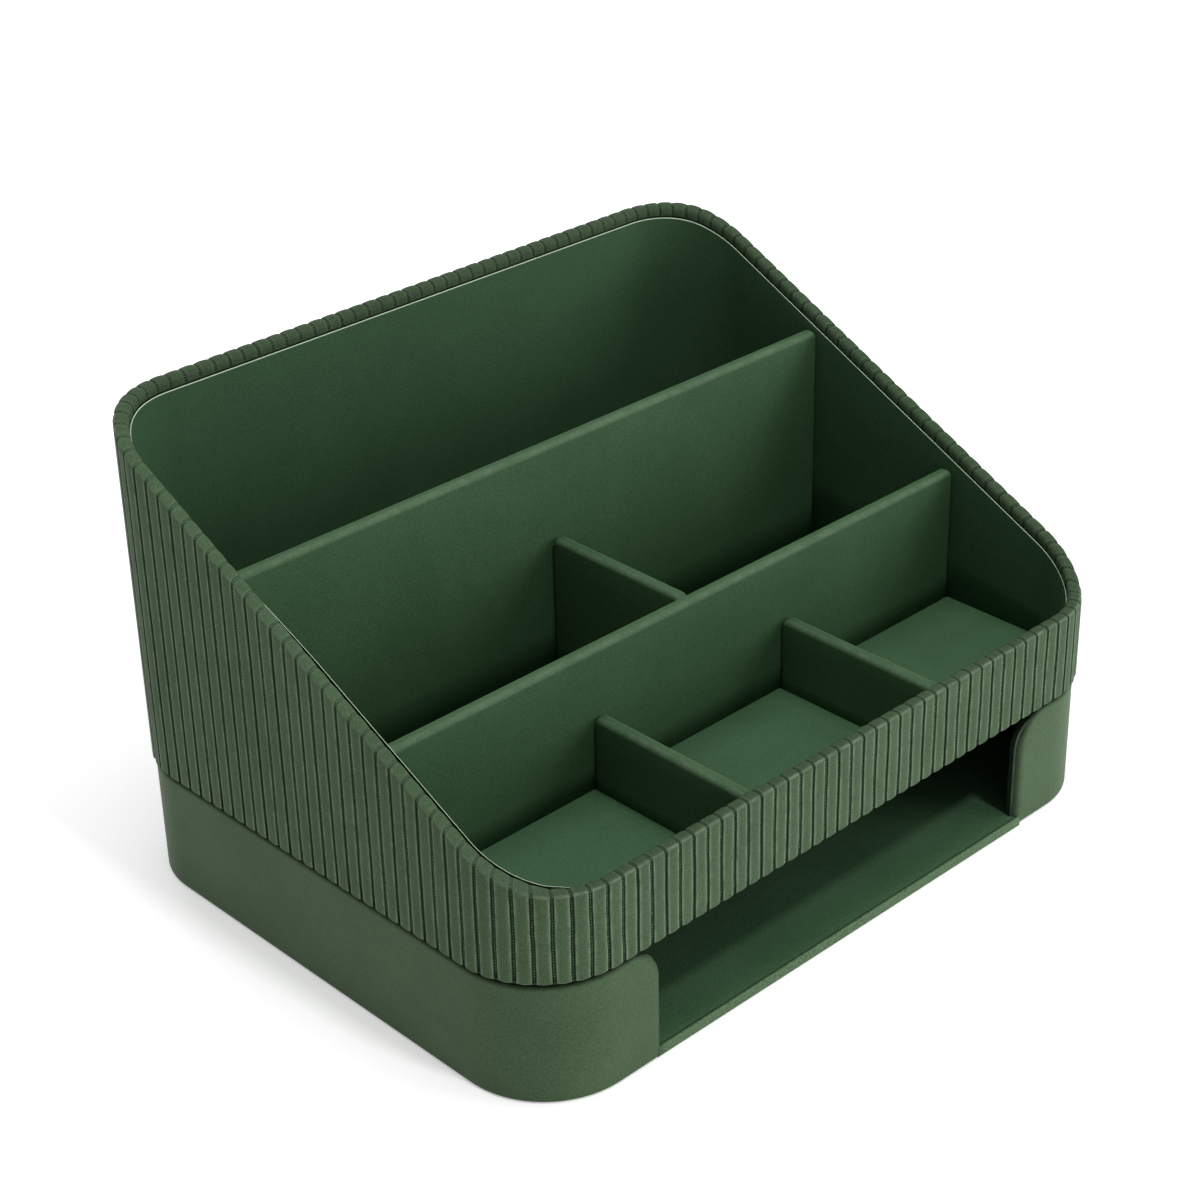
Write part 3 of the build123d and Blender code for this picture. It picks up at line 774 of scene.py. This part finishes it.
# Painted shade in the grooves, except on the thread, mixed towards a dark green.
groove_shade_share = add("ShaderNodeMath", {"operation": "SUBTRACT"}, i0=crease, i1=thread).outputs["Value"]
flute_hide.colour = flute_hide.mix(groove_shade_share, flute_hide.colour, srgb(27, 50, 31))
flute_hide.colour = flute_hide.mix(scale(add, 0.8, thread), flute_hide.colour, srgb(90, 118, 88))
# Painted shade on the rim's top.
rim_shade_tone = add("ShaderNodeMapRange", Value=kept(add, "shade"), i1=0.0, i2=1.0, i3=1.0, i4=0.0)
# Painted shade and highlight across each pucker, besides its bump.
pucker_shading = add("ShaderNodeMapRange", Value=pucker, i1=-1.0, i2=1.0, i3=0.64, i4=1.18)
flute_hide.colour = flute_hide.times(flute_hide.times(flute_hide.colour, rim_shade_tone), pucker_shading)
flute_hide.rub_and_highlight(WORN_AND_LIT_GREEN, 0.75)
sewn = sum_of(add, scale(add, on_thread, stitch), 1.6, flute_hide.height)
flute_hide.height = sum_of(add, pucker, 1.5, sewn)
dress(flute_hide.finish(0.52, shine=0.045), fluted)
print("stitches of", STITCH, "mm in", FLUTES, "grooves")

# %% [markdown]
# ## Boards and felt
# The boards inside hardly show: only their edges lie in the dark seam between the shells. They are
# fibreboard stained dark. The pad under the tray is pressed felt, a matte tangle of short fibres.

# %% Boards and felt


def fibreboard():
    """Dark stained board: a fine noise between two dark greens."""
    material, shader, add, links = new_material("stained_board")
    place = add("ShaderNodeTexCoord").outputs["Object"]
    fibres = add("ShaderNodeTexNoise", Vector=place, Scale=900.0, Detail=5.0)
    dark, light = srgb(26, 30, 24), srgb(44, 50, 40)
    tint = add("ShaderNodeMix", {"data_type": "RGBA"}, i0=fibres.outputs["Fac"], i6=dark, i7=light)
    links.new(tint, shader.inputs["Base Color"])
    shader.inputs["Roughness"].default_value = 0.85
    return material


def felt():
    """Pressed felt: a distorted noise for fibres, as colour and as bump."""
    material, shader, add, links = new_material("pressed_felt")
    place = add("ShaderNodeTexCoord").outputs["Object"]
    fibres = add("ShaderNodeTexNoise", Vector=place, Scale=1400.0, Detail=6.0, Distortion=1.5)
    dark, light = srgb(22, 27, 22), srgb(48, 56, 46)
    tint = add("ShaderNodeMix", {"data_type": "RGBA"}, i0=fibres.outputs["Fac"], i6=dark, i7=light)
    bump = add("ShaderNodeBump", Strength=0.5, Distance=0.0003, Height=fibres.outputs["Fac"])
    links.new(tint, shader.inputs["Base Color"])
    links.new(bump.outputs["Normal"], shader.inputs["Normal"])
    shader.inputs["Roughness"].default_value = 0.95
    return material


stained = ("_core", "_board", "underside_leather")
boards_inside = [node for name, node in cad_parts.items() if name.endswith(stained)]
dress(fibreboard(), *boards_inside)
dress(felt(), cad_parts["tray_base_felt"])
print("stained boards", len(boards_inside))

# %% [markdown]
# ## Floor and light
# The object stands on a plain white floor. A small lamp, high and a little in front, draws the sharp
# shadow on the tray's floor and leaves the depth of the slot dark. Three large ones are soft: overhead, low
# at the right in front, and behind. The floor's own bounce lights the outer walls from below, as a white
# table does. The floor and the world look white in the picture and in reflections, through the Light
# Path node, but the world lights the object only gently.

# %% Floor
FAR, BELOW = 20.0, -0.0001
floor_mesh = bpy.data.meshes.new("floor")
corners = (-FAR, -FAR), (FAR, -FAR), (FAR, FAR), (-FAR, FAR)
floor_mesh.from_pydata([(x, y, BELOW) for x, y in corners], [], [(0, 1, 2, 3)])
floor = bpy.data.objects.new("floor", floor_mesh)
scene.collection.objects.link(floor)
floor_finish, floor_shader, add, links = new_material("pale_floor")
floor_shader.inputs["Base Color"].default_value = (0.88, 0.88, 0.88, 1.0)
floor_shader.inputs["Roughness"].default_value = 0.9
floor_shader.inputs["Specular IOR Level"].default_value = 0.0
floor_shader.inputs["Emission Color"].default_value = (1.0, 1.0, 1.0, 1.0)


def looked_at(add):
    """One for rays from the camera, from a gloss or through glass, otherwise nought."""
    path = add("ShaderNodeLightPath").outputs
    largest = {"operation": "MAXIMUM"}
    either = add("ShaderNodeMath", largest, i0=path["Is Camera Ray"], i1=path["Is Glossy Ray"])
    either = add("ShaderNodeMath", largest, i0=either.outputs["Value"], i1=path["Is Transmission Ray"])
    return either.outputs["Value"]


place = add("ShaderNodeTexCoord").outputs["Object"]
far = add("ShaderNodeVectorMath", {"operation": "LENGTH"}, i0=place).outputs["Value"]
glow = add("ShaderNodeMapRange", Value=far, i1=0.25, i2=1.2, i3=0.35, i4=0.8)
links.new(scale(add, looked_at(add), glow), floor_shader.inputs["Emission Strength"])
dress(floor_finish, floor)
print("floor", 2 * FAR, "m wide")

# %% Lamps


def lamp(name, place, size, power):
    """Square area lamp at a place in metres, turned to face a point in the object, 8 cm up."""
    data = bpy.data.lights.new(name, "AREA")
    data.size, data.energy = size, power
    made = bpy.data.objects.new(name, data)
    scene.collection.objects.link(made)
    back = np.array(place) - np.array([0, 0, 0.08])
    back = back / np.linalg.norm(back)
    side = np.cross([0, 1.0, 0], back)
    side = side / np.linalg.norm(side)
    matrix = np.eye(4)
    matrix[:3, :] = np.stack([side, np.cross(back, side), back, place], axis=1)
    made.matrix_world = Matrix(matrix.tolist())


lamp("key", (0.0, -1.13, 2.12), 0.2, 14.5)
lamp("top", (0.0, 0.0, 2.4), 1.2, 23)
lamp("front_right", (1.3, -1.6, 0.6), 1.2, 21.5)
lamp("back", (0.3, 1.8, 1.6), 1.2, 8)

# %% World
FILL = 0.32
world = bpy.data.worlds.new("studio")
scene.world = world
world.use_nodes = True
background = world.node_tree.nodes["Background"]
background.inputs["Color"].default_value = (1.0, 1.0, 1.0, 1.0)
add = node_adder(world.node_tree)
strength = add("ShaderNodeMapRange", i0=looked_at(add), i3=FILL, i4=1.0)
world.node_tree.links.new(strength, background.inputs["Strength"])
scene.view_settings.view_transform = "Standard"
print("the world lights the object by", FILL)
